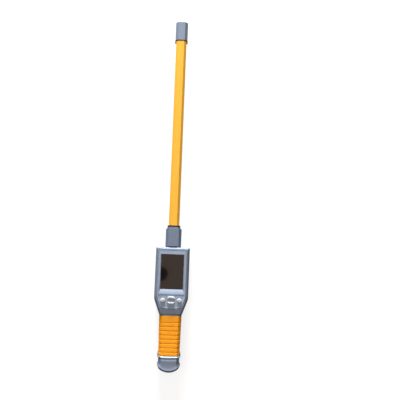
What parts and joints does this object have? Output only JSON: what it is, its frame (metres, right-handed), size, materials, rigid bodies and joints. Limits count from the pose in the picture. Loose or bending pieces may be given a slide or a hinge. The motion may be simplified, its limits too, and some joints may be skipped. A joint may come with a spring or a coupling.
{
  "type": "grain moisture meter",
  "caption": "Hand-held probe meter: display head with keypad, ribbed grip with battery cap, and a long chamfered square probe with a sensor tip.",
  "frame": {"origin": "bottom centre of the bounding box, on the surface that the meter lies on", "axes": "+Y from the end cap to the probe's tip, +Z out of the display, +X to the right as the display is read with the probe pointing away"},
  "size_m": [0.0744, 0.7856, 0.0376],
  "materials": {
    "housing_plastic": "satin",
    "bezel_plastic": "satin",
    "collar_plastic": "satin",
    "grip_rubber": "matte",
    "probe_plastic": "satin",
    "key_plastic": "gloss",
    "display_glass": "gloss",
    "black_rubber": "matte",
    "seal_rubber": "matte",
    "display_metal": "satin",
    "board_laminate": "satin",
    "black_plastic": "satin",
    "pale_plastic": "satin",
    "screw_steel": "satin",
    "contact_brass": "satin",
    "cell_jacket": "satin",
    "red_lead": "satin",
    "black_lead": "satin"
  },
  "bodies": {
    "root": {"front_shell": "housing_plastic", "back_shell": "housing_plastic", "tip_cap": "housing_plastic", "front_bezel": "bezel_plastic", "probe_collar": "collar_plastic", "grip_sleeve": "grip_rubber", "probe_tube": "probe_plastic", "display_lens": "display_glass", "display_gasket": "black_rubber", "keypad_mat": "black_rubber", "left_key_boot": "black_rubber", "right_key_boot": "black_rubber", "up_key_boot": "black_rubber", "down_key_boot": "black_rubber", "collar_gasket": "black_rubber", "tube_seal": "black_rubber", "tube_plug": "black_rubber", "tip_seal": "seal_rubber", "lcd_module": "display_metal", "main_board": "board_laminate", "sensor_board": "board_laminate", "board_components": "black_plastic", "buzzer": "black_plastic", "battery_carrier": "black_plastic", "display_spacers": "pale_plastic", "battery_connector": "pale_plastic", "lead_connector": "pale_plastic", "electrode_insulator": "pale_plastic", "housing_screws": "screw_steel", "board_screws": "screw_steel", "collar_screws": "screw_steel", "temperature_sensor": "screw_steel", "battery_contacts": "contact_brass", "electrode_plates": "contact_brass", "battery_cells": "cell_jacket", "battery_leads": "red_lead", "sensor_lead": "black_lead"},
    "left_key": {"left_key": "key_plastic", "left_key_pill": "black_rubber"},
    "right_key": {"right_key": "key_plastic", "right_key_pill": "black_rubber"},
    "up_key": {"up_key": "key_plastic", "up_key_pill": "black_rubber"},
    "down_key": {"down_key": "key_plastic", "down_key_pill": "black_rubber"},
    "end_cap": {"end_cap": "housing_plastic", "cap_contact_plate": "contact_brass", "cap_springs": "screw_steel", "cap_seal": "black_rubber"}
  },
  "joints": [
    {"name": "left_key_press", "type": "slide", "parent": "root", "child": "left_key", "axis": [0, 0, -1], "range_m": [0, 0.0012], "stiffness_N_per_m": 800, "deforming": ["left_key_boot"]},
    {"name": "right_key_press", "type": "slide", "parent": "root", "child": "right_key", "axis": [0, 0, -1], "range_m": [0, 0.0012], "stiffness_N_per_m": 800, "deforming": ["right_key_boot"]},
    {"name": "up_key_press", "type": "slide", "parent": "root", "child": "up_key", "axis": [0, 0, -1], "range_m": [0, 0.0012], "stiffness_N_per_m": 800, "deforming": ["up_key_boot"]},
    {"name": "down_key_press", "type": "slide", "parent": "root", "child": "down_key", "axis": [0, 0, -1], "range_m": [0, 0.0012], "stiffness_N_per_m": 800, "deforming": ["down_key_boot"]},
    {"name": "end_cap_pull", "type": "slide", "parent": "root", "child": "end_cap", "axis": [0, -1, 0], "range_m": [0, 0.06]}
  ]
}
